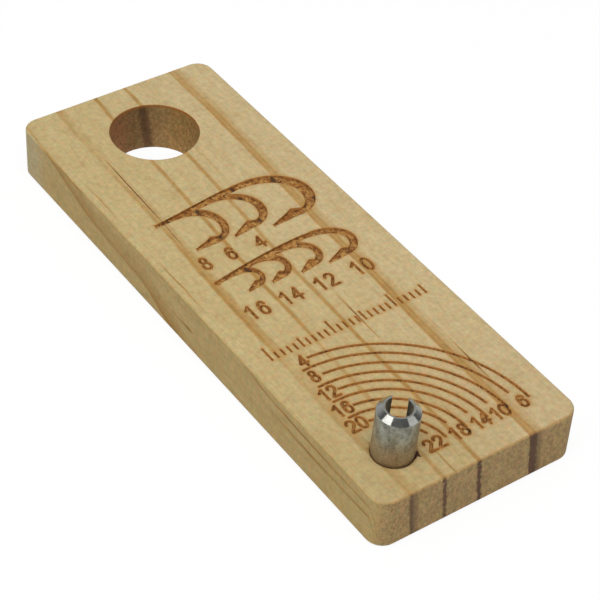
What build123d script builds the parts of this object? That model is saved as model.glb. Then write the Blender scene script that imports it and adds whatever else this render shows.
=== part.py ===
from build123d import *
from collections import namedtuple
from math import acos, asin, degrees
import os

# Pocket gauge for fly tying: a wooden block, engraved on its upper face, with a slotted
# steel pin near one corner.  Sizes are in millimetres.  X runs across the block, Y along
# it towards the round hole, and Z up out of the engraved face.  The origin is the middle
# of the underside.

# Wooden block
block_width = 31.75
block_length = 88.9
block_thickness = 8.0
corner_radius = 2.45
edge_round = 0.4

# Round hole that hangs the gauge on a tying stand
hole_radius = 6.57
hole_from_far_end = 11.7
hole_rim_round = 0.12

# Slotted spring pin.  Its bore squeezes it, and it opens out again where it stands free.
# It leans a little, because it was pressed in out of square, and its foot stops just inside
# the underside.  Directions are degrees round from +X towards +Y.
pin_radius = 2.85
pin_wall = 1.1
pin_stands_out = 7.7
pin_foot_recess = 0.25
pin_from_side = 6.85
pin_from_front = 7.05
pin_lean = 1.9
pin_lean_direction = -37.5
pin_slot = 2.05
pin_slot_direction = 48.2
pin_rim = 0.29
pin_cone_height = 0.76
pin_squeeze = 0.07
pin_opening_height = 0.35

# Mouth of the pin's bore, where the pin has crushed the wood open a little
mouth_flare = 0.29
mouth_depth = 0.4

# Engraving
engraving_depth = 0.3
arc_line_width = 0.4

# Barb-length arcs, one for each hook size, struck about a point beside the pin.  Their
# ends are staggered to leave room for the sizes' numbers: every other arc starts further
# left and stops higher on the right, and the smallest has a number on its right alone.
barb_length = {
    4: 20.95,
    6: 19.25,
    8: 17.45,
    10: 15.75,
    12: 14.15,
    14: 12.55,
    16: 10.8,
    18: 9.25,
    20: 7.5,
    22: 6.15,
}
arc_centre_from_pin = (-0.38, -1.7)
inner_arc_start = 1.1
outer_arc_start = -0.8
outer_arc_end = 0.2
inner_arc_end = 2.2
last_arc_end = 1.95

# Hook outlines.  Each is read by its gape, from the inside of the shank to the inside of
# the point, and its throat, from the inside of the bend to the point.
Hook = namedtuple("Hook", "bend_x shank_y gape throat point_drop wire crown inner_run outer_run")
large_hooks = [
    Hook(-2.3, 14.1, 5.9, 5.6, 0.95, 1.16, 0.65, 4.4, 3.2),
    Hook(4.27, 14.64, 6.24, 5.85, 1.46, 1.35, 0.65, 4.85, 4.7),
    Hook(12.06, 15.25, 7.94, 7.36, 1.25, 1.8, 1.12, 7.0, 7.3),
]
small_hooks = [
    Hook(-4.0, 0.05, 2.33, 2.87, 1.22, 0.72, 0.85, 2.5, 2.2),
    Hook(0.31, 0.64, 3.1, 3.3, 1.25, 0.95, 0.72, 3.2, 2.2),
    Hook(5.44, 0.85, 3.53, 3.8, 1.41, 1.05, 0.82, 3.4, 3.4),
    Hook(11.25, 1.46, 4.54, 5.05, 1.29, 1.25, 0.88, 5.3, 5.1),
]
large_eye = (-11.3, 14.32)
small_eye = (-10.7, 0.05)
large_shank_rise = 0.08
small_shank_rise = 0.19
eye_thickness = 0.6
point_thickness = 0.42
heel_thickness = 1.2

# Shape that the hooks share, as parts of a hook's gape
bend_height = 0.4
heel_run = 0.25
barb_run = 0.175
barb_height = 0.075
notch_run = 0.32
notch_drop = 0.0
lower_bend_run = 0.38
lower_bend_allowance = 1.2

# Places that follow from the sizes above
hole_y = block_length / 2 - hole_from_far_end
pin_x = pin_from_side - block_width / 2
pin_y = pin_from_front - block_length / 2
arc_centre_x = pin_x + arc_centre_from_pin[0]
arc_centre_y = pin_y + arc_centre_from_pin[1]
pin_foot = pin_foot_recess - block_thickness
pin_inner_radius = pin_radius - pin_wall
pin_end_radius = pin_inner_radius + pin_rim
pin_bore_radius = pin_radius - pin_squeeze

# Plane square to the pin's axis where it leaves the upper face, and one along the axis
pin_plane = Plane(
    origin=(pin_x, pin_y, block_thickness),
    x_dir=Vector(1, 0, 0).rotate(Axis.Y, pin_lean).rotate(Axis.Z, pin_lean_direction),
    z_dir=Vector(0, 0, 1).rotate(Axis.Y, pin_lean).rotate(Axis.Z, pin_lean_direction),
)
pin_section_plane = Plane(pin_plane.origin, x_dir=pin_plane.x_dir, z_dir=-pin_plane.y_dir)
pin_slot_plane = pin_plane.rotated((0, 0, pin_slot_direction - pin_lean_direction))


def quarter_ellipse(right_x, middle_y, run, rise, start_angle):
    # a quarter of an ellipse whose rightmost point is (right_x, middle_y)
    return EllipticalCenterArc(
        (right_x - run, middle_y), run, rise, start_angle=start_angle, arc_size=90
    )


def hook_outline(hook):
    # bend, point and barb of one hook, up to where its shank joins the next one
    floor_y = hook.shank_y - hook.gape
    bend_y = floor_y + bend_height * hook.gape
    inside_x = hook.bend_x - hook.wire
    heel_x = inside_x - heel_run * hook.gape
    point_x = inside_x - hook.throat
    point_y = floor_y - hook.point_drop
    shank_top = hook.shank_y + hook.crown
    lower_run = lower_bend_run * hook.gape + lower_bend_allowance
    heel_bottom = floor_y - heel_thickness
    with BuildSketch() as outline:
        with BuildLine():
            quarter_ellipse(hook.bend_x, bend_y, hook.outer_run, shank_top - bend_y, 0)
            quarter_ellipse(hook.bend_x, bend_y, lower_run, bend_y - heel_bottom, -90)
            Polyline(
                (hook.bend_x - lower_run, heel_bottom),
                (point_x, point_y - point_thickness / 2),
                (point_x, point_y + point_thickness / 2),
                (heel_x - notch_run * hook.gape, floor_y - notch_drop * hook.gape),
                (heel_x - barb_run * hook.gape, floor_y + barb_height * hook.gape),
                (heel_x, floor_y),
            )
            quarter_ellipse(inside_x, bend_y, inside_x - heel_x, bend_y - floor_y, -90)
            quarter_ellipse(inside_x, bend_y, hook.inner_run, hook.shank_y - bend_y, 0)
            Line(
                (inside_x - hook.inner_run, hook.shank_y),
                (hook.bend_x - hook.outer_run, shank_top),
            )
        make_face()
    return outline.sketch


def shank_outline(hooks, eye, rise):
    # the one long shank that a row of hooks hangs from, thin at the eye and rising to the last bend
    last = hooks[-1]
    eye_top = (eye[0], eye[1] + eye_thickness / 2)
    eye_bottom = (eye[0], eye[1] - eye_thickness / 2)
    last_top = (last.bend_x - last.outer_run, last.shank_y + last.crown)
    underside = [(hook.bend_x - hook.wire - hook.inner_run, hook.shank_y) for hook in reversed(hooks)]
    with BuildSketch() as outline:
        with BuildLine():
            Spline(eye_top, last_top, tangents=((1, rise), (1, 0)))
            Polyline(last_top, *underside, eye_bottom, eye_top)
        make_face()
    return outline.sketch


def barb_arc(radius, start_x, end_y):
    # one arc from where it meets the upright line start_x to where it drops to the level
    # end_y, both measured from the arcs' own centre
    start_angle = degrees(asin(end_y / radius))
    end_angle = degrees(acos(start_x / radius))
    with BuildSketch() as arc:
        with BuildLine(mode=Mode.PRIVATE) as path:
            CenterArc((arc_centre_x, arc_centre_y), radius, start_angle, end_angle - start_angle)
        SlotArc(path.wires()[0], arc_line_width)
    return arc.sketch


os.makedirs("parts", exist_ok=True)

# Wooden block
with BuildPart() as wood_block:
    with BuildSketch():
        RectangleRounded(block_width, block_length, corner_radius)
    extrude(amount=block_thickness)
    broad_faces = wood_block.faces().sort_by(Axis.Z)
    fillet(broad_faces[0].edges() + broad_faces[-1].edges(), radius=edge_round)
    with Locations((0, hole_y, block_thickness)):
        Hole(hole_radius)
    fillet(wood_block.edges(Select.LAST).filter_by(GeomType.CIRCLE), radius=hole_rim_round)

    # bore for the pin, leaning with it, and its flared mouth
    with BuildSketch(pin_plane):
        Circle(pin_bore_radius)
    extrude(amount=2 * block_thickness, both=True, mode=Mode.SUBTRACT)
    with Locations(pin_plane):
        Cone(pin_bore_radius, pin_bore_radius + 2 * mouth_flare, 2 * mouth_depth, mode=Mode.SUBTRACT)

    # hook outlines and barb-length arcs, sunk below the upper face
    with BuildSketch(Plane.XY.offset(block_thickness)):
        for hook in large_hooks + small_hooks:
            add(hook_outline(hook))
        add(shank_outline(large_hooks, large_eye, large_shank_rise))
        add(shank_outline(small_hooks, small_eye, small_shank_rise))
        for place, radius in enumerate(barb_length.values()):
            if place % 2 == 0:
                add(barb_arc(radius, inner_arc_start, outer_arc_end))
            elif place < len(barb_length) - 1:
                add(barb_arc(radius, outer_arc_start, inner_arc_end))
            else:
                add(barb_arc(radius, inner_arc_start, last_arc_end))
    extrude(amount=-engraving_depth, mode=Mode.SUBTRACT)

wood_block.part.label = "wood_block"
export_step(wood_block.part, "parts/wood_block.step")

# Slotted spring pin, rolled from steel strip, with a cone on each end that leaves a rim
with BuildPart() as roll_pin:
    with BuildSketch(pin_section_plane):
        with BuildLine():
            Polyline(
                (pin_inner_radius - pin_squeeze, pin_foot),
                (pin_end_radius - pin_squeeze, pin_foot),
                (pin_bore_radius, pin_foot + pin_cone_height),
                (pin_bore_radius, 0),
                (pin_radius, pin_opening_height),
                (pin_radius, pin_stands_out - pin_cone_height),
                (pin_end_radius, pin_stands_out),
                (pin_inner_radius, pin_stands_out),
                (pin_inner_radius, pin_opening_height),
                (pin_inner_radius - pin_squeeze, 0),
                close=True,
            )
        make_face()
    revolve(axis=Axis(pin_plane.origin, pin_plane.z_dir))

    # the gap between the strip's edges, cut outwards from the middle through one wall
    with BuildSketch(pin_slot_plane):
        Rectangle(2 * pin_radius, pin_slot, align=(Align.MIN, Align.CENTER))
    extrude(amount=pin_stands_out + block_thickness, both=True, mode=Mode.SUBTRACT)

roll_pin.part.label = "roll_pin"
export_step(roll_pin.part, "parts/roll_pin.step")
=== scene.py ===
from math import cos, pi, radians, sin

import bmesh
import bpy
import numpy as np
from mathutils import Matrix, Vector, noise
from mathutils.geometry import delaunay_2d_cdt
from mathutils.kdtree import KDTree


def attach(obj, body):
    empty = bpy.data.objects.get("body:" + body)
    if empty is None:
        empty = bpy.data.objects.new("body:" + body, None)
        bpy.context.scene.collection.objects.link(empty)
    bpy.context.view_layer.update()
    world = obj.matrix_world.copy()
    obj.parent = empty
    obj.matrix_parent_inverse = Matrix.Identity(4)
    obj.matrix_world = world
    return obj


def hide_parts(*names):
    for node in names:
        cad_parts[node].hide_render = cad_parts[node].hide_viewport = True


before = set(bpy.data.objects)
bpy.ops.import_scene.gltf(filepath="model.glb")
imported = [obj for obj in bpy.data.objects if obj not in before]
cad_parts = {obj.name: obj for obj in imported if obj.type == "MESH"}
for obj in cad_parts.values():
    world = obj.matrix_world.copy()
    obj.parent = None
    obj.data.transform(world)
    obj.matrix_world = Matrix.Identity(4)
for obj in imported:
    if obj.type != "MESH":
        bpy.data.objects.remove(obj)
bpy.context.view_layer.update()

# Sizes in the dictionaries of the pieces are in millimetres, and the objects themselves are in metres.
mm = 0.001
same = 1e-7                            # in metres: places that are nearer than this are one place
blockTop = 8.0                         # height of the block's upper face
print("frame loaded:", sorted(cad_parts))


# Shader writing

class Wire:
    # one output socket that can be added, multiplied and so on
    def __init__(self, shop, socket):
        self.shop = shop
        self.socket = socket

    def __add__(self, other):
        return self.shop.math("ADD", self, other)

    def __radd__(self, other):
        return self.shop.math("ADD", other, self)

    def __sub__(self, other):
        return self.shop.math("SUBTRACT", self, other)

    def __rsub__(self, other):
        return self.shop.math("SUBTRACT", other, self)

    def __mul__(self, other):
        return self.shop.math("MULTIPLY", self, other)

    def __rmul__(self, other):
        return self.shop.math("MULTIPLY", other, self)

    def __truediv__(self, other):
        return self.shop.math("DIVIDE", self, other)

    def __abs__(self):
        return self.shop.math("ABSOLUTE", self)

    def clamped(self):
        return self.shop.math("ADD", self, 0.0, clamp=True)

    def larger(self, other):
        return self.shop.math("MAXIMUM", self, other)

    def smooth(self, low, high):
        # 0 at low, 1 at high, with a soft start and end; low may be the larger one
        return self.shop.node(
            "ShaderNodeMapRange", {"interpolation_type": "SMOOTHSTEP"},
            {"Value": self, "From Min": low, "From Max": high}).out("Result")


class NodeWires:
    # the output sockets of one node, by name or number
    def __init__(self, shop, made):
        self.shop = shop
        self.made = made

    def out(self, name):
        return Wire(self.shop, self.made.outputs[name])


class Shop:
    # makes the nodes of one material, or of the world
    def __init__(self, name, owners=bpy.data.materials):
        self.owner = owners.new(name)
        self.owner.use_nodes = True
        self.tree = self.owner.node_tree
        self.tree.nodes.clear()

    def node(self, kind, settings=None, values=None):
        made = self.tree.nodes.new(kind)
        for key, value in (settings or {}).items():
            if key == "points":
                curve = made.mapping.curves[0]
                for index, point in enumerate(value):
                    if index < 2:
                        curve.points[index].location = point
                    else:
                        curve.points.new(*point)
                made.mapping.update()
            else:
                setattr(made, key, value)
        for key, value in (values or {}).items():
            socket = made.inputs[key]
            if isinstance(value, Wire):
                self.tree.links.new(value.socket, socket)
            elif isinstance(value, tuple) and socket.type == "RGBA":
                socket.default_value = (*value, 1.0)
            else:
                socket.default_value = value
        return NodeWires(self, made)

    def math(self, operation, first, second=None, clamp=False):
        values = {0: first} if second is None else {0: first, 1: second}
        return self.node("ShaderNodeMath", {"operation": operation, "use_clamp": clamp}, values).out(0)

    def mix(self, share, first, second, how="MIX"):
        # sockets 0, 6 and 7 are the factor and the two colours
        return self.node("ShaderNodeMix", {"data_type": "RGBA", "blend_type": how},
                         {0: share, 6: first, 7: second}).out(2)

    def tinted(self, colour, tint):
        return self.mix(1.0, colour, tint, "MULTIPLY")

    def shaded(self, colour, shade):
        grey = self.node("ShaderNodeCombineColor", {}, {0: shade, 1: shade, 2: shade}).out(0)
        return self.tinted(colour, grey)

    def place(self):
        # where a point of the piece is, in millimetres
        metres = self.node("ShaderNodeTexCoord").out("Object")
        return self.node("ShaderNodeVectorMath", {"operation": "SCALE"}, {0: metres, "Scale": 1 / mm}).out(0)

    def parts(self, vector):
        split = self.node("ShaderNodeSeparateXYZ", {}, {0: vector})
        return split.out("X"), split.out("Y"), split.out("Z")

    def distance(self, place, middle):
        return self.node("ShaderNodeVectorMath", {"operation": "DISTANCE"},
                         {0: place, 1: middle}).out("Value")

    def attribute(self, name):
        return self.node("ShaderNodeAttribute", {"attribute_name": name}).out("Fac")

    def noise(self, place, stretch, detail=3.0, roughness=0.55, seed=0.0):
        moved = self.node("ShaderNodeVectorMath", {"operation": "MULTIPLY_ADD"},
                          {0: place, 1: stretch, 2: (seed, seed * 0.7, seed * 1.3)}).out(0)
        return self.node("ShaderNodeTexNoise", {},
                         {"Vector": moved, "Scale": 1.0, "Detail": detail, "Roughness": roughness}).out(0)

    def bump(self, height, strength, distance):
        # "distance" is in metres
        return self.node("ShaderNodeBump", {},
                         {"Height": height, "Strength": strength, "Distance": distance}).out("Normal")

    def surface(self, values):
        return self.finish(self.node("ShaderNodeBsdfPrincipled", {}, values).out(0))

    def finish(self, shader, kind="ShaderNodeOutputMaterial"):
        self.node(kind, {}, {"Surface": shader})
        return self.owner


def srgb(red, green, blue):
    # a colour as it looks on a screen, 0 to 255, as the linear numbers that a shader takes
    def linear(part):
        part = part / 255
        return part / 12.92 if part <= 0.04045 else ((part + 0.055) / 1.055) ** 2.4

    return linear(red), linear(green), linear(blue)


# Camera, light and floor

cameraSettings = {
    "place": (-0.125341, -0.168617, 0.189088),
    "turn": (47.9945, -2.8773, -34.8291),
    "sensor": 36.0,
    "lens": 122.03,
    "sees": (0.01, 20.0),              # from this distance to that one
}


def makeObject(name, data):
    made = bpy.data.objects.new(name, data)
    bpy.context.scene.collection.objects.link(made)
    return made


def makeCamera(settings):
    camera = makeObject("camera", bpy.data.cameras.new("camera"))
    camera.location = settings["place"]
    camera.rotation_euler = [radians(angle) for angle in settings["turn"]]
    camera.data.sensor_width = settings["sensor"]
    camera.data.lens = settings["lens"]
    camera.data.clip_start, camera.data.clip_end = settings["sees"]
    bpy.context.scene.camera = camera
    bpy.context.scene.view_settings.view_transform = "Standard"


makeCamera(cameraSettings)

# Distances and sizes of the lamps are in metres, and "along" is the way a lamp's longer side runs
lightSettings = {
    "left_box": {"towards": (-0.64, 0.04, 0.67), "along": (0.11, -0.96, 0.25),
                 "distance": 0.6, "size": (0.38, 0.22), "power": 0.5},
    "right_box": {"towards": (0.56, -0.64, 0.53), "along": (0.71, 0.48, -0.40),
                  "distance": 0.6, "size": (0.40, 0.16), "power": 0.14},
    "top_box": {"towards": (-0.16, -0.22, 1.0), "along": (0.81, -0.59, 0.0),
                "distance": 0.9, "size": (0.6, 0.6), "power": 6.6},
}


def makeLamp(name, settings):
    lamp = bpy.data.lights.new(name, "AREA")
    lamp.shape = "RECTANGLE"
    lamp.size, lamp.size_y = settings["size"]
    lamp.energy = settings["power"]
    towards = Vector(settings["towards"]).normalized()
    along = Vector(settings["along"])
    along = (along - towards * along.dot(towards)).normalized()
    holder = makeObject(name, lamp)
    holder.location = towards * settings["distance"]
    holder.rotation_euler = Matrix((along, towards.cross(along), towards)).transposed().to_euler()


for lampName, lampSettings in lightSettings.items():
    makeLamp(lampName, lampSettings)

roomSettings = {"colour": (0.97, 0.99, 1.0), "near": 0.13, "far": 0.55, "far side": (0.45, 0.85, 0.0)}


def makeRoom(settings):
    # a dim room, lighter on the side behind the block
    shop = Shop("room", bpy.data.worlds)
    ahead = shop.node("ShaderNodeTexCoord").out("Generated")
    behind = shop.node("ShaderNodeVectorMath", {"operation": "DOT_PRODUCT"},
                       {0: ahead, 1: settings["far side"]}).out("Value").smooth(0.1, 0.8)
    strength = settings["near"] + (settings["far"] - settings["near"]) * behind
    values = {"Color": settings["colour"], "Strength": strength}
    return shop.finish(shop.node("ShaderNodeBackground", {}, values).out(0), "ShaderNodeOutputWorld")


bpy.context.scene.world = makeRoom(roomSettings)

floorSettings = {"size": 6.0, "below": 0.02 * mm, "bounce grey": 0.60, "glow": 0.90}


def makeFloor(settings):
    # the floor looks white, keeps the block's shadow, and throws less light back than it shows
    shop = Shop("pale_floor")
    rays = shop.node("ShaderNodeLightPath")
    seen = rays.out("Is Camera Ray").larger(rays.out("Is Transmission Ray"))
    grey, white = (settings["bounce grey"],) * 3, (1.0, 1.0, 1.0)
    matt = shop.node("ShaderNodeBsdfDiffuse", {}, {"Color": shop.mix(seen, grey, white)}).out(0)
    glow = shop.node("ShaderNodeEmission", {}, {"Color": white, "Strength": 1.0}).out(0)
    shader = shop.node("ShaderNodeMixShader", {}, {0: seen * settings["glow"], 1: matt, 2: glow}).out(0)
    mesh = bpy.data.meshes.new("floor")
    half = settings["size"] / 2
    corners = [(-half, -half, 0), (half, -half, 0), (half, half, 0), (-half, half, 0)]
    mesh.from_pydata(corners, [], [(0, 1, 2, 3)])
    floor = makeObject("floor", mesh)
    floor.location.z = -settings["below"]
    mesh.materials.append(shop.finish(shader))


makeFloor(floorSettings)
print("camera, lights and floor made")


# Wood

def thin(half):
    # the profile of a fine line, from "half" to its left to "half" to its right
    return [(-half, 0), (0, 1.0), (half, 0)]


# A growth line passes the places (y, x) on the upper face. Its profile gives how strongly it shows at each
# distance to its right, out to "reach", and "shows" gives that along the block: 1 is honey brown and 2 is as
# dark as a resin streak. A steady line has no wander.
softProfile = [(-0.5, 0), (-0.3, 0.45), (-0.08, 0.95), (0.12, 0.95), (0.32, 0.5), (0.5, 0)]
woodSettings = {
    "lines": [
        {"through": [(44, 10.05), (30, 9.95), (22, 9.65), (12, 9.2), (2, 8.75), (-8, 8.7), (-18, 8.25),
                     (-31, 7.95), (-44, 7.85)],
         "profile": [(-0.8, 0), (-0.52, 0.8), (-0.3, 1.0), (0.0, 0.8), (0.35, 0.98), (0.62, 0.5), (1.1, 0.38),
                     (1.7, 0)],
         "shows": [(44, 0.85), (30, 1.0), (4, 1.0), (-11, 1.12), (-44, 0.98)],
         "reach": 2.0},
        {"through": [(44, 1.7), (32, 1.45), (22, 1.05), (12, 0.58), (4, 0.22), (-1, 0.0), (-11, -0.2),
                     (-18, -0.42), (-28, -0.62), (-44, -0.82)],
         "profile": softProfile,
         "shows": [(44, 1.0), (22, 0.95), (0, 0.9), (-17, 1.05), (-44, 0.98)],
         "reach": 1.0, "in hole": 0.6},
        {"through": [(44, -3.3), (40, -3.6), (26, -4.0), (16, -4.45), (9, -4.78), (2, -5.15), (-5, -5.35),
                     (-11, -5.42), (-18, -5.7), (-28, -6.0), (-44, -6.3)],
         "profile": softProfile,
         "shows": [(44, 1.35), (41, 1.0), (22, 0.92), (-11, 1.0), (-17, 0.6), (-30, 0.7), (-44, 0.7)],
         "reach": 1.0},
        {"through": [(44, -9.7), (38, -10.0), (33, -10.1), (22, -10.4), (13, -10.5), (10, -10.7), (5, -11.0),
                     (0, -11.2), (-8, -11.4), (-18, -11.5), (-28, -11.75), (-44, -11.4)],
         "profile": [(-0.6, 0), (-0.25, 0.8), (0.0, 1.0), (0.3, 0.72), (0.7, 0.6), (1.0, 0.4), (1.3, 0)],
         "shows": [(44, 0.62), (33, 0.45), (22, 0.62), (10, 0.9), (4, 1.0), (-11, 1.05), (-18, 0.55),
                   (-30, 0.6), (-44, 0.62)],
         "reach": 1.5},
        {"through": [(44, -14.7), (22, -14.82), (4, -14.85), (-12, -14.95), (-44, -15.1)],
         "profile": thin(0.2),
         "shows": [(44, 0), (28, 0.1), (25, 0.8), (21, 0.8), (18, 0.15), (8, 0.15), (5.7, 0.9), (-1, 0.8),
                   (-4, 0.2), (-20, 0.1), (-44, 0)],
         "reach": 0.5},
        {"through": [(44, 3.2), (26, 3.0), (17, 2.8), (0, 2.4), (-44, 1.4)],
         "profile": thin(0.35),
         "shows": [(44, 0.05), (28, 0.1), (26, 0.3), (17, 0.25), (10, 0.1), (-12, 0.15), (-44, 0.12)],
         "reach": 0.8, "upper face only": True},
        {"through": [(44, 7.4), (0, 7.0), (-11, 6.75), (-44, 6.3)],
         "profile": thin(0.3),
         "shows": [(44, 0), (0, 0.1), (-11, 0.25), (-20, 0.05), (-44, 0)],
         "reach": 0.8, "upper face only": True},
        {"through": [(-20, -4.1), (-44, -4.5)],
         "profile": thin(0.28),
         "shows": [(-20, 0), (-37, 0), (-40, 0.5), (-42, 0.85), (-44, 0.7)],
         "reach": 0.6, "upper face only": True},
        # the rows of fine dark lines on the left side
        {"through": [(44, -15.45), (38, -15.83), (35, -15.96), (30, -16.15), (25, -16.307), (20, -16.38),
                     (15, -16.43), (10, -16.49), (5, -16.72), (2, -16.84), (-44, -17.6)],
         "profile": [(-0.03, 0), (0.015, 0.9), (0.08, 0.62), (0.25, 0.38), (0.45, 0)],
         "shows": [(44, 0.9), (30, 1.0), (12, 0.8), (5, 1.3), (2, 1.4), (-1, 0.6), (-44, 0.4)],
         "reach": 0.5, "steady": True},
        {"through": [(44, -15.95), (-15, -15.95), (-20, -16.03), (-25, -16.067), (-30, -16.091),
                     (-44, -16.11)],
         "profile": thin(0.035),
         "shows": [(44, 0), (-14, 0), (-17, 1.0), (-22, 0.8), (-26.5, 1.5), (-30, 1.2), (-36, 0.9),
                   (-44, 0.5)],
         "reach": 0.1, "steady": True},
        {"through": [(44, -16.25), (-19, -16.25), (-25, -16.295), (-30, -16.319), (-44, -16.307)],
         "profile": thin(0.05),
         "shows": [(44, 0), (-19, 0), (-24, 0.7), (-30, 1.1), (-36, 0.7), (-41, 0.8), (-44, 0.2)],
         "reach": 0.12, "steady": True},
        {"through": [(44, -16.41), (-44, -16.42)],
         "profile": thin(0.045),
         "shows": [(44, 0), (6, 0), (2, 0.5), (0, 1.0), (-1.8, 1.3), (-2.6, 0), (-44, 0)],
         "reach": 0.12, "steady": True},
        {"through": [(44, -15.86), (34, -15.887), (30, -15.91), (27, -15.935), (-44, -15.95)],
         "profile": thin(0.035),
         "shows": [(44, 0), (35, 0), (33, 1.2), (30, 1.0), (27, 0.8), (25, 0), (-44, 0)],
         "reach": 0.1, "steady": True},
        # dark lines along the splits and their thin ends
        {"through": [(44, -9.55), (29.6, -9.60), (26, -9.70), (22, -9.80), (14.9, -9.95), (11, -10.15),
                     (6.5, -10.35), (-44, -11)],
         "profile": thin(0.16),
         "shows": [(44, 0), (33, 0), (31, 0.5), (29.5, 1.5), (16, 1.5), (13, 1.35), (10, 1.0), (6, 0.6),
                   (3, 0), (-44, 0)],
         "reach": 0.3, "steady": True},
        {"through": [(0, 2.0), (-11.3, 1.93), (-16.4, 1.84), (-19.4, 1.78), (-44, 1.5)],
         "profile": thin(0.2),
         "shows": [(0, 0), (-9, 0), (-11, 0.8), (-13, 1.4), (-16.5, 1.4), (-18, 0.9), (-20, 0.5), (-21.5, 0),
                   (-44, 0)],
         "reach": 0.4, "steady": True},
        {"through": [(0, 9.9), (-20, 9.65), (-25.6, 9.58), (-29, 9.5), (-32.8, 9.42), (-44, 9.4)],
         "profile": thin(0.22),
         "shows": [(0, 0), (-18, 0), (-21, 0.5), (-25, 0.5), (-28, 1.3), (-32, 1.5), (-34, 0.6), (-36, 0),
                   (-44, 0)],
         "reach": 0.4, "steady": True},
        {"through": [(0, 1.0), (-35.3, 1.17), (-37, 1.3), (-39.3, 1.4), (-44, 1.5)],
         "profile": thin(0.15),
         "shows": [(0, 0), (-34, 0), (-35.5, 1.0), (-39, 1.0), (-40.5, 0), (-44, 0)],
         "reach": 0.3, "steady": True},
        {"through": [(0, -5.0), (-13.5, -5.4), (-15.3, -5.7), (-44, -6)],
         "profile": thin(0.14),
         "shows": [(0, 0), (-12.5, 0), (-14, 1.3), (-15, 1.3), (-16, 0), (-44, 0)],
         "reach": 0.3, "steady": True},
    ],
    "tilt": 0.12,                      # mm sideways for each mm down
    "pale": srgb(200, 179, 132),
    "honey": srgb(190, 164, 113),
    "line": srgb(174, 134, 72),
    "streak": srgb(112, 74, 40),
    "end line": srgb(112, 86, 66),
    "end streak": srgb(88, 62, 48),
    "end red": (0.93, 0.74, 0.67),
    "end olive": (0.82, 0.80, 0.66),
    # the hole's wall: redder on the left, with painted shade darkest in the middle
    "hole left": (0.92, 0.65, 0.62),
    "hole middle": (0.58, 0.52, 0.47),
    "hole right": (0.84, 0.79, 0.74),
    # painted light: faces that look along x are lighter and yellower, and the far end of the left face is
    # lighter and bluer
    "side": (1.08, 1.02, 0.82),
    "far side": (1.08, 1.17, 1.28),
    "right": (0.99, 1.0, 1.05),
    "left": (0.94, 0.94, 0.90),
    "near": (0.93, 0.92, 0.97),
    "near left": (0.86, 0.85, 0.81),
    # painted highlight along the rounded upper edges at the front and back
    "edge": srgb(186, 136, 72),
    # painted highlight on the eased rim at the top of the hole's wall
    "lipHighlight": srgb(188, 120, 54),
    "scorch": srgb(172, 120, 48),
    "roughness": 0.62,
    "specular": 0.28,
    "hole": (0.0, 32.75, 7.2),         # its middle, and a radius that takes in the eased rim
}


curveEnds = 46.0                       # a curve along the block runs from -46 to 46 mm
curveMost = 20.0                       # and its values may run from -20 to 20


def along(shop, y, points):
    # a curve over the block's length, from (y, value) pairs, and level beyond the last ones
    def share(number, most):
        return (number + most) / (2 * most)

    places = sorted((share(py, curveEnds), share(value, curveMost)) for py, value in points)
    if places[0][0] > 0.01:
        places.insert(0, (0.0, places[0][1]))
    if places[-1][0] < 0.99:
        places.append((1.0, places[-1][1]))
    curve = shop.node("ShaderNodeFloatCurve", {"points": [places[0], places[-1], *places[1:-1]]},
                      {"Factor": 1.0, "Value": share(y, curveEnds)}).out(0)
    return curve * (2 * curveMost) - curveMost


def inTheHole(shop, place, facing, hole):
    # 1 on the hole's wall
    x, y, _ = shop.parts(place)
    middleX, middleY, radius = hole
    flat = shop.node("ShaderNodeCombineXYZ", {}, {0: x - middleX, 1: y - middleY, 2: 0.0}).out(0)
    off = shop.node("ShaderNodeVectorMath", {"operation": "LENGTH"}, {0: flat}).out("Value")
    return off.smooth(radius, radius - 0.4) * abs(facing[2]).smooth(0.8, 0.2)


def grain(shop, settings):
    # place in millimetres, how strongly a growth line shows there, the way the surface faces, and how much it
    # is end grain or the hole's wall
    place = shop.place()
    x, y, z = shop.parts(place)
    facing = shop.parts(shop.node("ShaderNodeNewGeometry").out("True Normal"))
    endGrain = abs(facing[1]).smooth(0.25, 0.95)
    inHole = inTheHole(shop, place, facing, settings["hole"])
    steadyX = x + settings["tilt"] * (z - blockTop)
    wander = shop.noise(place, (0.0, 0.30, 0.10), detail=2.0, seed=3.1) - 0.5
    waver = shop.noise(place, (0.15, 0.3, 0.55), detail=2.0, seed=8.3) - 0.5
    jitter = shop.noise(place, (3.0, 3.0, 2.2), detail=3.0, roughness=0.7, seed=31.0) - 0.5
    upperX = steadyX + 0.35 * wander + endGrain * (0.4 * waver + 1.1 * jitter)
    fade = 0.62 + 0.76 * shop.noise(place, (0.25, 0.35, 0.25), detail=3.0, seed=7.0)
    strength = None
    for line in settings["lines"]:
        steady = line.get("steady", False)
        side = (steadyX if steady else upperX) - along(shop, y, line["through"])
        if not steady:
            side = side * (1.0 - 0.6 * inHole)
        reach = line["reach"]
        # a curve holds values up to 1, so the profile is halved in it, and all are doubled at the end
        places = [(0.5 + step / (2 * reach), value / 2) for step, value in line["profile"]]
        profile = shop.node("ShaderNodeFloatCurve", {"points": [(0.0, 0.0), (1.0, 0.0), *places]},
                            {"Factor": 1.0, "Value": (side / (2 * reach) + 0.5).clamped()}).out(0)
        shows = along(shop, y, line["shows"])
        here = profile * shows * (1.0 - inHole * (1.0 - line.get("in hole", 0.0)))
        if line.get("upper face only"):
            here = here * (1.0 - endGrain)
        strength = here if strength is None else strength.larger(here)
    return place, 2.0 * strength * fade, facing, endGrain, inHole


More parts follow.
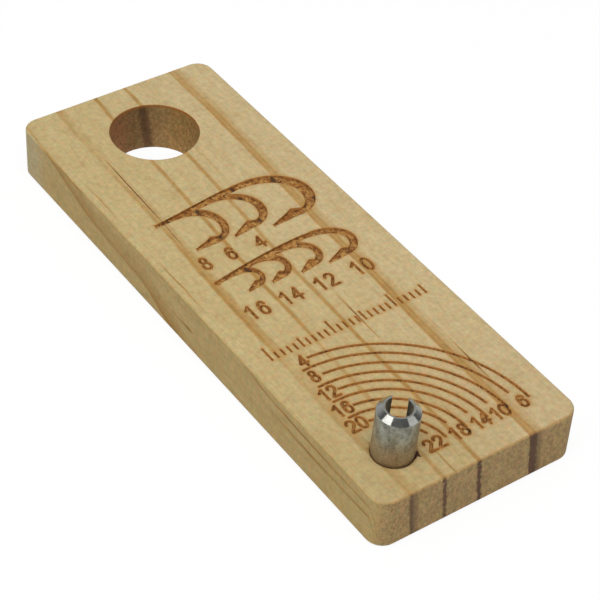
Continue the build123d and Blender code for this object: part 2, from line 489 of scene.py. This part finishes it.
def longGrain(shop, settings, place, strength, pale, speck):
    # the wood where it is cut along the grain, and its fibres
    fibre = shop.noise(place, (4.0, 0.45, 4.0), detail=3.0, roughness=0.65, seed=1.7)
    tone = shop.noise(place, (0.9, 1.5, 0.9), detail=4.0, roughness=0.75, seed=12.1)
    hue = shop.noise(place, (1.4, 1.2, 1.4), detail=4.0, roughness=0.75, seed=23.6) - 0.5
    colour = shop.mix(strength.clamped(), pale, settings["line"])
    colour = shop.mix((strength - 1.0).clamped(), colour, settings["streak"])
    light = 0.34 + 0.45 * fibre + 0.86 * speck
    red = 0.40 * (tone - 0.5)
    warm = shop.node("ShaderNodeCombineColor", {}, {0: light + red, 1: light - red,
                                                    2: light - red + 0.5 * hue}).out(0)
    return shop.tinted(colour, warm), fibre


def crossGrain(shop, settings, place, strength, pale):
    # the wood where it is cut across the grain
    pores = shop.noise(place, (2.6, 2.6, 1.9), detail=5.0, roughness=0.8, seed=4.4)
    blush = shop.noise(place, (1.2, 1.2, 0.9), detail=4.0, roughness=0.7, seed=14.2)
    lines = (strength.smooth(0.0, 0.85) * (0.62 + 0.76 * pores)).clamped()
    colour = shop.mix(lines, pale, settings["end line"])
    colour = shop.mix(((strength - 1.0) * 0.6).clamped(), colour, settings["end streak"])
    tint = shop.mix((blush * 3.4 - 1.2).clamped(), settings["end red"], settings["end olive"])
    return shop.shaded(shop.tinted(colour, tint), 2.6 * pores - 0.3)


def holeTintedAndShaded(shop, settings, colour, x, speck):
    # redder to the left, and darker and a little olive in the middle of the hole's wall, where the darkness
    # is painted shade that eases off to the right
    tint = shop.mix(x.smooth(-0.5, 4.5), settings["hole middle"], settings["hole right"])
    tint = shop.mix(x.smooth(1.0, -3.5), tint, settings["hole left"])
    return shop.tinted(colour, shop.shaded(tint, 0.35 + 1.3 * speck))


def levelTint(shop, settings, x, y):
    # how the light falls off over the upper face
    across = shop.mix(x.smooth(13.0, -10.0), settings["right"], settings["left"])
    near = shop.mix(x.smooth(8.0, -4.0), settings["near"], settings["near left"])
    return shop.mix(y.smooth(-14.0, -38.0), across, near)


def woodColour(shop, settings):
    place, strength, facing, endGrain, inHole = grain(shop, settings)
    x, y, z = shop.parts(place)
    facingX, facingY, facingZ = facing
    mottle = shop.noise(place, (0.45, 0.16, 0.45), detail=4.0, seed=9.4)
    speck = shop.noise(place, (1.3, 1.5, 1.3), detail=5.0, roughness=0.8, seed=2.2)
    pale = shop.mix((mottle * 1.5 - 0.25).clamped(), settings["pale"], settings["honey"])
    colour, fibre = longGrain(shop, settings, place, strength, pale, speck)
    across = crossGrain(shop, settings, place, strength, pale)
    colour = shop.mix(endGrain.larger(inHole * 0.85), colour, across)
    colour = shop.mix(inHole, colour, holeTintedAndShaded(shop, settings, colour, x, speck))
    # painted highlight on the eased rim at the top of the hole's wall
    lipHighlight = inHole * z.smooth(7.3, 7.8) * (0.4 + 1.2 * speck)
    colour = shop.mix((lipHighlight * 0.8).clamped(), colour, settings["lipHighlight"])
    # painted light on the faces that look along x: lighter and yellower, and lighter and bluer at the far end
    # of the left face
    nearer = y.smooth(41.0, 36.0).larger(facingX.smooth(-0.3, 0.3))
    paintedSideLight = shop.mix(nearer, settings["far side"], settings["side"])
    colour = shop.mix(abs(facingX).smooth(0.5, 0.95), colour, shop.tinted(colour, paintedSideLight))
    level = shop.tinted(colour, levelTint(shop, settings, x, y))
    colour = shop.mix(facingZ.smooth(0.5, 0.9), colour, level)
    # painted highlight on the rounded upper edges that face front or back
    sloped = facingZ.smooth(0.35, 0.6) * facingZ.smooth(0.95, 0.8)
    edge = sloped * abs(facingY).smooth(0.3, 0.7) * (1.3 * speck)
    return shop.mix((edge * 0.65).clamped(), colour, settings["edge"]), place, fibre, strength


def makeWood(settings):
    shop = Shop("pine")
    colour, place, fibre, strength = woodColour(shop, settings)
    uneven = shop.noise(place, (1.6, 1.6, 1.6), detail=2.0, seed=6.1)
    scorch = (shop.attribute("scorch") * (0.35 + 0.9 * uneven)).clamped()
    return shop.surface({
        "Base Color": shop.mix(scorch, colour, settings["scorch"]),
        "Roughness": settings["roughness"],
        "Specular IOR Level": settings["specular"],
        "Normal": shop.bump(fibre * 0.6 + strength * 0.4, 0.25, 0.00006),
    })


burnSettings = {
    "light": srgb(186, 138, 74),
    "brown": srgb(146, 92, 38),
    "dark": srgb(76, 44, 20),
    # the darker border of a cut: partly the burn's own edge, partly painted shade at the foot of the walls
    "rim": srgb(102, 60, 22),
    # painted light: a lighter orange on the cut's walls, as a lit wall shows
    "wall": srgb(162, 106, 46),
    "char": srgb(50, 34, 24),
    "roughness": 0.7,
    "specular": 0.2,
    # places (x, y, radius) where the burning went black
    "black spots": [(2.43, 15.7, 0.42), (2.17, 13.5, 0.50), (8.62, 14.6, 0.55), (-4.5, 14.2, 0.48),
                    (-9.15, 14.5, 0.32), (-5.4, 0.5, 0.42), (-4.67, 8.2, 0.45), (2.0, 8.25, 0.42),
                    (-9.9, 14.6, 0.22), (11.3, 8.4, 0.25), (9.5, -29.6, 0.35), (-5.6, -18.6, 0.3),
                    (1.3, -39.6, 0.35), (8.2, -38.6, 0.3), (-5.8, -24.7, 0.3), (-5.9, -28.8, 0.3),
                    (0.3, -2.7, 0.3)],
    "spot squeeze": 0.6,               # below 1 a spot is longer along the grain
}


def makeBurntWood(settings):
    shop = Shop("burnt_pine")
    place, strength, facing, _, _ = grain(shop, woodSettings)
    x, y, _ = shop.parts(place)
    blotch = shop.noise(place, (0.9, 0.9, 0.9), detail=4.0, roughness=0.6, seed=8.8)
    fine = shop.noise(place, (3.3, 2.6, 3.3), detail=2.0, seed=3.9)
    patch = shop.noise(place, (1.7, 1.3, 1.7), detail=3.0, roughness=0.6, seed=17.4)
    rim = shop.attribute("rim")
    colour = shop.mix(blotch.smooth(0.42, 0.62), settings["light"], settings["brown"])
    colour = shop.mix((fine.smooth(0.50, 0.66) * 0.75).clamped(), colour, settings["dark"])
    # darker border along a cut's edges, partly the burn's own colour and partly painted shade at the foot of
    # the walls; it also deepens the dark patches there
    colour = shop.mix((rim * (0.3 + 1.4 * patch)).clamped() * 0.95, colour, settings["rim"])
    # painted light: the steep walls of a cut take a lighter orange, as if lit
    colour = shop.mix(abs(facing[2]).smooth(0.7, 0.3), colour, settings["wall"])
    colour = shop.mix((patch.smooth(0.44, 0.66) * (0.22 + 0.75 * rim)).clamped(), colour, settings["dark"])
    charred = strength.smooth(0.5, 0.95) * fine.smooth(0.50, 0.62) * 0.7
    squeeze = settings["spot squeeze"]
    flat = shop.node("ShaderNodeCombineXYZ", {}, {0: x, 1: y * squeeze, 2: 0.0}).out(0)
    for spotX, spotY, radius in settings["black spots"]:
        away = shop.distance(flat, (spotX, spotY * squeeze, 0.0)) + 1.1 * (fine - 0.5)
        charred = charred.larger(away.smooth(radius, 0.4 * radius) * 0.85)
    return shop.surface({
        "Base Color": shop.mix(charred, colour, settings["char"]),
        "Roughness": settings["roughness"],
        "Specular IOR Level": settings["specular"],
        "Normal": shop.bump(fine + blotch, 0.6, 0.00008),
    })


splitSettings = {
    # painted shade: dark browns stand in for the shade down in a split, which is cut only a little way in
    "light": srgb(128, 84, 50),
    "dark": srgb(92, 60, 38),
    # darker still by the torn corner beside the pin: the torn wood, with painted shade of the chip's hollow
    # and the gap at the bore's mouth
    "torn": srgb(84, 50, 34),
    "torn place": (-6.7, -39.3, 7.9),
    "torn reach": (1.6, 1.1),          # distances from that place where its colour starts and is full
    "roughness": 0.85,
}


def makeSplitWood(settings):
    shop = Shop("split_pine")
    place = shop.place()
    # dark browns as painted shade inside the splits, and darker by the torn corner, partly torn wood and
    # partly painted shade
    colour = shop.mix(shop.noise(place, (2.0, 0.8, 2.0), seed=1.1), settings["light"], settings["dark"])
    torn = shop.distance(place, settings["torn place"]).smooth(*settings["torn reach"])
    return shop.surface({"Base Color": shop.mix(torn, colour, settings["torn"]),
                         "Roughness": settings["roughness"]})


# Block

blockSettings = {
    "depth": 0.28,
    "unevenness": 0.22,                # of the depth, by which a cut's floor wanders
    "split depth": 0.06,
    "chip depth": 0.34,
    "stroke": 0.42,
    "rim": 0.34,                       # width of the darker border on a cut's floor, partly the burn's own edge and partly painted shade at the foot of the walls
    "wall rim": 0.7,                   # how dark that border is on a cut's wall
    "scorch": 0.32,                    # width of the browned border round a cut
    "grid": 0.42,                      # pitch of the points over the upper face
    "grid area": (-15.9, -44.5, 32, 89),    # left, near end, width and length
    "rows": (0.09, 0.20),              # how far from a cut's edge the closer rows of points are
    "row pitch": 0.22,
    "walk": 0.08,                      # pitch of the points that a distance to an outline is measured to
    "solid depth": 0.31,               # just more than the engraving's depth in the solid block
    "sharp from": 36,                  # the angle at which an edge is sharp
    "hole": (0.0, 32.75, 6.57),
    "pin": (-9.025, -37.4, 2.9),       # where its bore is, and a radius just outside it
    "rims": 0.5,                       # width of the rounded rims, where no engraving is
    "corner": (13.425, 42.0, 2.45),    # where the corner's round starts, and its radius
    "small eye": ((-10.42, 0.06), 0.42, 0.40),
    # numbers: text, left, bottom, width of one figure, pitch, height; all to the middle of the stroke
    "numbers": [
        ("8", -10.2, 3.05, 1.15, 0.0, 2.35), ("6", -6.1, 3.05, 1.2, 0.0, 2.35),
        ("4", -1.4, 3.15, 1.3, 0.0, 2.1), ("16", -10.45, -8.45, 1.25, 1.95, 2.45),
        ("14", -4.95, -8.4, 1.25, 1.8, 2.35), ("12", 0.65, -8.5, 1.25, 1.85, 2.4),
        ("10", 6.75, -8.5, 1.25, 1.8, 2.45), ("4", -9.85, -19.4, 1.1, 0.0, 2.0),
        ("8", -10.2, -22.45, 1.05, 0.0, 1.95), ("12", -11.1, -25.95, 1.1, 1.4, 2.0),
        ("16", -11.3, -29.2, 1.1, 1.45, 2.0), ("20", -11.35, -32.35, 1.15, 1.45, 2.0),
        ("22", -5.15, -40.15, 1.15, 1.5, 1.95), ("18", -1.15, -40.15, 1.1, 1.4, 1.95),
        ("14", 2.35, -40.15, 1.1, 1.3, 1.95), ("10", 5.4, -40.15, 1.15, 1.4, 1.95),
        ("6", 9.75, -40.15, 1.15, 0.0, 1.95),
    ],
    # a plain millimetre scale: left end, foot of the ticks, length, heights of the 1, 5 and 10 mm ticks
    "scale": {"left": -12.5, "foot": -16.15, "length": 25, "heights": (1.05, 1.6, 2.35), "stroke": 0.30},
    # splits that run with the grain: middle line and greatest width
    "splits": [
        ([(-9.62, 28.6), (-9.70, 26.0), (-9.80, 22.0), (-9.86, 18.0), (-9.95, 14.9)], 0.09),
        ([(1.92, -12.6), (1.88, -13.6), (1.84, -16.0), (1.81, -17.2)], 0.09),
        ([(9.52, -27.6), (9.50, -28.6), (9.46, -30.2), (9.43, -32.2)], 0.10),
        ([(-10.02, 13.9), (-10.15, 11.0), (-10.30, 8.4)], 0.05),
    ],
    # a torn corner beside the pin
    "chip": [(-6.34, -38.80), (-6.62, -40.15), (-7.20, -39.62), (-7.0, -38.9)],
    "torn mouth": (-6.92, -39.3, 7.8),    # where the torn corner reaches the pin's bore
    "torn radius": 0.75,               # how far the bore's mouth is torn there
    "chip radius": 1.6,                # how far from there the chip's depth holds
}

# Strokes of each figure in a box one unit wide and one high. A loop is the two places of its middle, half its
# width and half its height.
figures = {
    "0": {"loops": [(0.5, 0.5, 0.44, 0.5)]},
    "1": {"lines": [[(0.12, 0.74), (0.36, 0.84), (0.60, 1.0)],
                    [(0.60, 1.0), (0.60, 0.0)]]},
    "2": {"lines": [[(0.04, 0.76), (0.12, 0.90), (0.30, 0.99), (0.54, 1.0), (0.78, 0.93), (0.90, 0.77),
                     (0.84, 0.60), (0.62, 0.43), (0.34, 0.25), (0.06, 0.02)],
                    [(0.06, 0.0), (0.98, 0.0)]]},
    "4": {"lines": [[(0.70, 0.0), (0.70, 1.0)],
                    [(0.70, 1.0), (0.02, 0.32)],
                    [(0.02, 0.30), (1.0, 0.30)]]},
    "6": {"loops": [(0.5, 0.32, 0.42, 0.32)],
          "lines": [[(0.90, 0.80), (0.80, 0.93), (0.60, 1.0), (0.40, 0.97), (0.20, 0.82), (0.10, 0.60),
                     (0.08, 0.34)]]},
    "8": {"loops": [(0.5, 0.77, 0.34, 0.23), (0.5, 0.28, 0.44, 0.28)]},
}


def sideways(points, index):
    # unit vector to the left of the path at one point, lengthened at a bend
    before = Vector(points[index]) - Vector(points[max(index - 1, 0)])
    after = Vector(points[min(index + 1, len(points) - 1)]) - Vector(points[index])
    before = before.normalized() if before.length > 0 else after.normalized()
    after = after.normalized() if after.length > 0 else before
    middle = (before + after).normalized()
    return Vector((-middle.y, middle.x)) / max(0.5, middle.dot(before))


def strokeOutline(points, width):
    # outline of a pen stroke with round ends
    half = width / 2
    left, right = [], []
    for index, point in enumerate(points):
        out = sideways(points, index) * half
        left.append((point[0] + out.x, point[1] + out.y))
        right.append((point[0] - out.x, point[1] - out.y))

    def roundEnd(centre, towards):
        start = Vector((towards.y, -towards.x))
        angles = [pi * k / 6 for k in range(1, 6)]
        return [(centre[0] + half * (start.x * cos(a) + towards.x * sin(a)),
                 centre[1] + half * (start.y * cos(a) + towards.y * sin(a))) for a in angles]

    ahead = (Vector(points[-1]) - Vector(points[-2])).normalized()
    back = (Vector(points[0]) - Vector(points[1])).normalized()
    return right + roundEnd(points[-1], ahead) + list(reversed(left)) + roundEnd(points[0], back)


def taperedOutline(points, width):
    # outline of a split, widest in the middle and closing to a point at both ends
    left, right = [], []
    for index in range(1, len(points) - 1):
        out = sideways(points, index) * width / 2
        left.append((points[index][0] + out.x, points[index][1] + out.y))
        right.append((points[index][0] - out.x, points[index][1] - out.y))
    return [points[0], *right, points[-1], *reversed(left)]


def ellipse(middle, across, up, count=28):
    return [(middle[0] + across * cos(2 * pi * k / count), middle[1] + up * sin(2 * pi * k / count))
            for k in range(count)]


def numberShapes():
    # every stroke as (outer outline, inner outline or None)
    shapes = []
    half = blockSettings["stroke"] / 2
    for text, left, bottom, width, pitch, height in blockSettings["numbers"]:
        for order, letter in enumerate(text):
            def at(point):
                return left + order * pitch + point[0] * width, bottom + point[1] * height

            for line in figures[letter].get("lines", []):
                shapes.append((strokeOutline([at(point) for point in line], half * 2), None))
            for px, py, across, up in figures[letter].get("loops", []):
                shapes.append((ellipse(at((px, py)), across * width + half, up * height + half),
                               ellipse(at((px, py)), across * width - half, up * height - half)))
    return shapes


def scaleShapes():
    scale = blockSettings["scale"]
    small, middling, large = scale["heights"]
    shapes = []
    for step in range(scale["length"] + 1):
        height = large if step % 10 == 0 else middling if step % 5 == 0 else small
        foot = (scale["left"] + step, scale["foot"])
        tick = strokeOutline([foot, (foot[0], foot[1] + height)], scale["stroke"])
        shapes.append((tick, None))
    return shapes


def inTheFace(point):
    # true where a low point belongs to the engraving, and not to the block's rounded rims or the pin's bore
    halfX, halfY, corner = blockSettings["corner"]
    rims = blockSettings["rims"]
    x, y = point.x / mm, point.y / mm
    pastCorner = Vector((max(abs(x) - halfX, 0), max(abs(y) - halfY, 0))).length
    clear = [(x - middleX) ** 2 + (y - middleY) ** 2 > (radius + rims) ** 2
             for middleX, middleY, radius in (blockSettings["hole"], blockSettings["pin"])]
    return pastCorner < corner - rims and all(clear)


def loopsOf(edges):
    # closed loops of points in millimetres, from the edges round a flat region
    following = {}
    for edge in edges:
        for vert in edge.verts:
            following.setdefault(vert, []).append(edge)
    loops, used = [], set()
    for first in edges:
        if first in used:
            continue
        vert, edge, loop = first.verts[0], first, []
        while edge not in used:
            used.add(edge)
            loop.append((vert.co.x / mm, vert.co.y / mm))
            vert = edge.other_vert(vert)
            edge = next((other for other in following[vert] if other not in used), edge)
        loops.append(loop)
    return loops


def areaOf(outline):
    return sum(p[0] * q[1] - q[0] * p[1] for p, q in zip(outline, outline[1:] + outline[:1])) / 2


def turned(outline):
    # the same outline, always left turning
    return outline if areaOf(outline) > 0 else outline[::-1]


def holds(outline, px, py):
    # true where the outline goes round the point
    inside = False
    for (ax, ay), (bx, by) in zip(outline, outline[1:] + outline[:1]):
        if (ay > py) != (by > py) and px < (bx - ax) * (py - ay) / (by - ay) + ax:
            inside = not inside
    return inside


def walked(outline, pitch):
    # points along an outline and the direction out of it, at a steady pitch
    for (ax, ay), (bx, by) in zip(outline, outline[1:] + outline[:1]):
        length = ((bx - ax) ** 2 + (by - ay) ** 2) ** 0.5
        if length < 1e-6:
            continue
        count = max(1, round(length / pitch))
        for step in range(count):
            t = (step + 0.5) / count
            yield ax + (bx - ax) * t, ay + (by - ay) * t, (by - ay) / length, (ax - bx) / length


def spacedPoints(cutRings, edgeRings):
    # a staggered grid over the face, and closer rows of points beside each cut
    def treeAlong(rings):
        return treeOf([(px, py) for ring in rings for px, py, _, _ in walked(ring, blockSettings["walk"])])

    cutTree, allTree = treeAlong(cutRings), treeAlong(cutRings + edgeRings)
    kept = []
    for away in blockSettings["rows"]:
        row = []
        for ring in cutRings:
            for px, py, outX, outY in walked(ring, blockSettings["row pitch"]):
                for side in (-away, away):
                    at = (px + outX * side, py + outY * side)
                    if cutTree.find((*at, 0))[2] > 0.85 * away:
                        row.append(at)
        tree = treeOf(kept) if kept else None
        for at in row:
            if tree is None or tree.find((*at, 0))[2] > 0.05:
                kept.append(at)
    tree = treeOf(kept)
    pitch = blockSettings["grid"]
    rise = 0.866                       # of the pitch, so that neighbouring points make even triangles
    left, near, width, length = blockSettings["grid area"]
    for row in range(int(length / (pitch * rise)) + 1):
        for column in range(int(width / pitch) + 1):
            at = (left + (column + 0.5 * (row % 2)) * pitch, near + row * pitch * rise)
            if allTree.find((*at, 0))[2] > 0.5 * pitch and tree.find((*at, 0))[2] > 0.5 * pitch:
                kept.append(at)
    return kept


def treeOf(points):
    tree = KDTree(len(points))
    for index, (px, py) in enumerate(points):
        tree.insert((px, py, 0), index)
    tree.balance()
    return tree


def closeSeams(made):
    # where a long edge lies along two short ones, it is divided at their meeting point
    seams = [edge for edge in made.edges if edge.is_boundary]
    ends = {vert for edge in seams for vert in edge.verts}
    for edge in seams:
        start, span = edge.verts[0], edge.verts[1].co - edge.verts[0].co
        for vert in ends.difference(edge.verts):
            share = (vert.co - start.co).dot(span) / span.length_squared
            if 0.001 < share < 0.999 and (start.co + share * span - vert.co).length < 2 * same:
                bmesh.utils.edge_split(edge, start, share)
                break
    bmesh.ops.remove_doubles(made, verts=made.verts, dist=4 * same)


materials = {"top": 0, "cut": 1, "split": 2}    # pine, burnt pine and split pine


def openedBlock():
    # the CAD block without its upper face and engraving, and the closed edges that are left open there
    made = bmesh.new()
    made.from_mesh(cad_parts["wood_block"].data)
    bmesh.ops.remove_doubles(made, verts=made.verts, dist=same)
    top = blockTop * mm
    lowest = top - blockSettings["solid depth"] * mm
    upper = {face for face in made.faces if all(abs(vert.co.z - top) < same for vert in face.verts)}
    sunk = {face for face in made.faces if face not in upper and inTheFace(face.calc_center_median())
            and all(vert.co.z > lowest for vert in face.verts)}
    border = [edge for edge in made.edges if sum(face in upper for face in edge.link_faces) == 1]
    loops = sorted((turned(loop) for loop in loopsOf(border)), key=areaOf, reverse=True)
    removed = [face for face in made.faces if face in upper or face in sunk]
    bmesh.ops.delete(made, geom=removed, context="FACES")
    for face in made.faces:
        off = face.calc_center_median() / mm - Vector(blockSettings["torn mouth"])
        face.material_index = materials["split" if off.length < blockSettings["torn radius"] else "top"]
    return made, loops


def faceRings(loops):
    # every outline on the upper face as (role, shape's number, outline)
    settings = blockSettings
    outside, *others = loops
    gaps = [loop for loop in others if any(holds(loop, *settings[name][:2]) for name in ("hole", "pin"))]
    shapes = [(loop, None) for loop in others if loop not in gaps] + numberShapes() + scaleShapes()
    shapes.append((ellipse(*settings["small eye"]), None))
    torn = [taperedOutline(points, width) for points, width in settings["splits"]] + [settings["chip"]]
    print("upper face:", len(gaps), "gaps,", len(shapes), "engraved shapes")
    rings = [("face", None, outside)]
    rings += [("gap", None, loop) for loop in gaps]
    rings += [("split", None, ring) for ring in torn]
    rings += [("cut", number, outer) for number, (outer, _) in enumerate(shapes)]
    rings += [("island", number, inner) for number, (_, inner) in enumerate(shapes) if inner]
    return [(role, number, turned(ring)) for role, number, ring in rings]


def kindOf(holders):
    # what a triangle is, from the role and the shape of each outline that holds it
    roles = [role for role, _ in holders]
    if "face" not in roles or "gap" in roles:
        return None
    if "split" in roles:
        return "split"
    islands = {shape for role, shape in holders if role == "island"}
    return "cut" if any(role == "cut" and shape not in islands for role, shape in holders) else "top"


def layOut(rings):
    # the upper face seen from above: its points, its triangles, and the kind of each triangle
    cutRings = [ring for role, _, ring in rings if role in ("cut", "island", "split")]
    edgeRings = [ring for role, _, ring in rings if role in ("face", "gap")]
    points, closed = [], []
    for _, _, ring in rings:
        closed.append(list(range(len(points), len(points) + len(ring))))
        points.extend(ring)
    points.extend(spacedPoints(cutRings, edgeRings))
    plan = delaunay_2d_cdt([Vector(point) for point in points], [], closed, 0, 1e-5)
    flat, triangles, owners = plan[0], plan[2], plan[5]
    print("upper face laid out:", len(triangles), "triangles")
    return flat, triangles, [kindOf([rings[index][:2] for index in owner]) for owner in owners]


def levelSteps(triangles, kinds):
    # the edges where two levels meet, each with the kinds on its two sides
    sides = {}
    for number, triangle in enumerate(triangles):
        for k in range(3):
            sides.setdefault(frozenset((triangle[k], triangle[(k + 1) % 3])), []).append(number)
    steps = []
    for pair, beside in sides.items():
        found = {kinds[number] for number in beside}
        if len(found - {None}) == 2:
            steps.append((tuple(pair), sorted(found - {None})))
        elif found == {"split", None}:     # a split that runs out into the pin's bore
            steps.append((tuple(pair), ["split", "top"]))
    return steps


def raiseFace(made, flat, triangles, kinds):
    # adds the upper face, the floors below it and the walls between them to the block
    settings = blockSettings
    steps = levelSteps(triangles, kinds)
    cutSteps = [pair for pair, found in steps if "cut" in found]
    rimTree = treeOf([tuple((flat[one] + flat[other]) / 2) for one, other in cutSteps]
                     + [tuple(flat[index]) for pair in cutSteps for index in pair])
    rim = made.verts.layers.float.new("rim")
    scorch = made.verts.layers.float.new("scorch")
    placed = {}

    def vertAt(index, kind):
        if (index, kind) in placed:
            return placed[index, kind]
        px, py = flat[index]
        level = blockTop
        if kind == "cut":
            uneven = noise.noise(Vector((px * 1.1, py * 1.1, 3.0)))
            level -= settings["depth"] * (1 + settings["unevenness"] * uneven)
        elif kind == "split":
            fromTear = (Vector((px, py)) - Vector(settings["torn mouth"][:2])).length
            level -= settings["chip depth" if fromTear < settings["chip radius"] else "split depth"]
        vert = made.verts.new((px * mm, py * mm, level * mm))
        away = rimTree.find((px, py, 0))[2]
        if kind == "cut":
            vert[rim] = max(0.0, 1 - away / settings["rim"])
        elif kind == "top":
            vert[scorch] = max(0.0, 1 - away / settings["scorch"])
        placed[index, kind] = vert
        return vert

    for triangle, kind in zip(triangles, kinds):
        if kind is not None:
            face = made.faces.new([vertAt(index, kind) for index in triangle])
            face.material_index = materials[kind]
    for (one, other), (low, high) in steps:
        face = made.faces.new((vertAt(one, low), vertAt(other, low), vertAt(other, high), vertAt(one, high)))
        face.material_index = materials["split" if "split" in (low, high) else "cut"]
        for vert in face.verts:
            if vert[scorch] == 0:
                vert[rim] = settings["wall rim"]


def makeBlock():
    # the CAD block with its upper face laid out afresh, so that the cuts, splits and burnt borders are in it
    made, loops = openedBlock()
    raiseFace(made, *layOut(faceRings(loops)))
    bmesh.ops.remove_doubles(made, verts=made.verts, dist=2 * same)
    closeSeams(made)
    bmesh.ops.recalc_face_normals(made, faces=made.faces)
    for face in made.faces:
        face.smooth = face.normal.z > -0.999    # the underside's long thin triangles stay flat
    mesh = bpy.data.meshes.new("carved_block")
    made.to_mesh(mesh)
    print("block closed:", sum(not edge.is_manifold for edge in made.edges), "open edges")
    made.free()
    mesh.set_sharp_from_angle(angle=radians(blockSettings["sharp from"]))
    for material in (makeWood(woodSettings), makeBurntWood(burnSettings), makeSplitWood(splitSettings)):
        mesh.materials.append(material)
    block = makeObject("carved_block", mesh)
    weighted = block.modifiers.new("flat faces stay flat", "WEIGHTED_NORMAL")
    weighted.keep_sharp = True
    return block


block = makeBlock()
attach(block, "root")
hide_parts("wood_block")
print("block made:", len(block.data.polygons), "faces")


# Pin

pinSettings = {
    "middle": (-9.025, -37.4, blockTop),    # where the axis leaves the upper face
    "lean": 1.9,
    "lean towards": -37.5,
    "slot": 2.05,
    "slot towards": 48.2,
    # half of the wall's section, as (radius, height along the axis)
    "section": [
        (2.78, -6.99), (2.78, 0.0), (2.85, 0.35), (2.85, 6.90), (2.82, 6.968),
        (2.04, 7.70), (1.82, 7.70), (1.775, 7.68), (1.75, 7.63),
        (1.75, 0.35), (1.68, 0.0), (1.68, -7.75), (1.97, -7.75),
    ],
    "steps": 96,
    "crisp from": 12,                  # the angle at which an edge is crisp
    "cut rows": (4, 6),                # rows of the section between which the steel is freshly cut
    # the colours are the clean steel, its darker clouds and a browner painted reflection of the wood on its
    # lower part
    "drawn steel": {"colours": [(0.49, 0.515, 0.445), (0.29, 0.285, 0.235), (0.45, 0.37, 0.27)],
                    "roughness": 0.46, "metallic": 0.85, "scratches": 0.18, "grime": 1.8},
    "cut steel": {"colours": [(0.50, 0.50, 0.46), (0.44, 0.44, 0.40), (0.44, 0.44, 0.40)],
                  "roughness": 0.13, "metallic": 1.0, "scratches": 0.03, "grime": 0.6},
    "foot": (12.6, 9.6),               # heights where the painted reflection of the wood starts and is full
}


def makeSteel(name, colours, roughness, metallic, scratches, grime):
    clean, dark, brown = colours
    shop = Shop(name)
    place = shop.place()
    _, _, height = shop.parts(place)
    cloud = shop.noise(place, (0.9, 0.9, 0.5), detail=4.0, roughness=0.6, seed=2.5)
    scratch = shop.noise(place, (6.0, 6.0, 0.9), detail=3.0, seed=6.6)
    fine = shop.noise(place, (5.0, 5.0, 5.0), detail=3.0, roughness=0.7, seed=1.3)
    # painted reflection: the lower part of the pin is browner, as the wood below would show in it
    foot = (height + 3.0 * (cloud - 0.5)).smooth(*pinSettings["foot"])
    colour = shop.mix(cloud.smooth(0.35, 0.65), clean, dark)
    colour = shop.mix((foot * (2.6 * fine - 0.5)).clamped(), colour, brown)
    return shop.surface({
        "Base Color": shop.shaded(colour, 1.0 - grime / 2 + grime * fine),
        "Metallic": metallic,
        "Roughness": roughness + 0.16 * (cloud - 0.5),
        "Normal": shop.bump(scratch * 0.6 + fine * 0.4, scratches, 0.00003),
    })


def makePin(settings):
    made = bmesh.new()
    section, steps = settings["section"], settings["steps"]
    rows = []
    for radius, height in section:
        opening = np.arcsin(settings["slot"] / 2 / radius)
        angles = np.linspace(opening, 2 * pi - opening, steps + 1)
        rows.append([made.verts.new((radius * cos(a), radius * sin(a), height)) for a in angles])
    for k, this in enumerate(rows):
        following = rows[(k + 1) % len(rows)]
        for step in range(steps):
            face = made.faces.new((this[step], this[step + 1], following[step + 1], following[step]))
            face.material_index = int(settings["cut rows"][0] <= k < settings["cut rows"][1])
    for end in (0, steps):
        made.faces.new([row[end] for row in rows])
    bmesh.ops.recalc_face_normals(made, faces=made.faces)
    for face in made.faces:
        face.smooth = len(face.verts) == 4    # the wall's two long edges stay flat
    lean, towards = radians(settings["lean"]), radians(settings["lean towards"])
    turn = radians(settings["slot towards"] - settings["lean towards"])
    axis = Vector((sin(lean) * cos(towards), sin(lean) * sin(towards), cos(lean)))
    leaning = Vector((cos(lean) * cos(towards), cos(lean) * sin(towards), -sin(lean)))
    across = axis.cross(leaning)
    middle = Vector(settings["middle"])
    for vert in made.verts:
        px, py, height = vert.co
        flatX, flatY = px * cos(turn) - py * sin(turn), px * sin(turn) + py * cos(turn)
        vert.co = (middle + leaning * flatX + across * flatY + axis * height) * mm
    mesh = bpy.data.meshes.new("slotted_pin")
    made.to_mesh(mesh)
    made.free()
    mesh.materials.append(makeSteel("drawn_steel", **settings["drawn steel"]))
    mesh.materials.append(makeSteel("cut_steel", **settings["cut steel"]))
    pin = makeObject("slotted_pin", mesh)
    crisp = pin.modifiers.new("crisp edges", "EDGE_SPLIT")
    crisp.split_angle = radians(settings["crisp from"])
    return pin


pin = makePin(pinSettings)
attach(pin, "root")
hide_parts("roll_pin")
print("pin made:", len(pin.data.polygons), "faces")
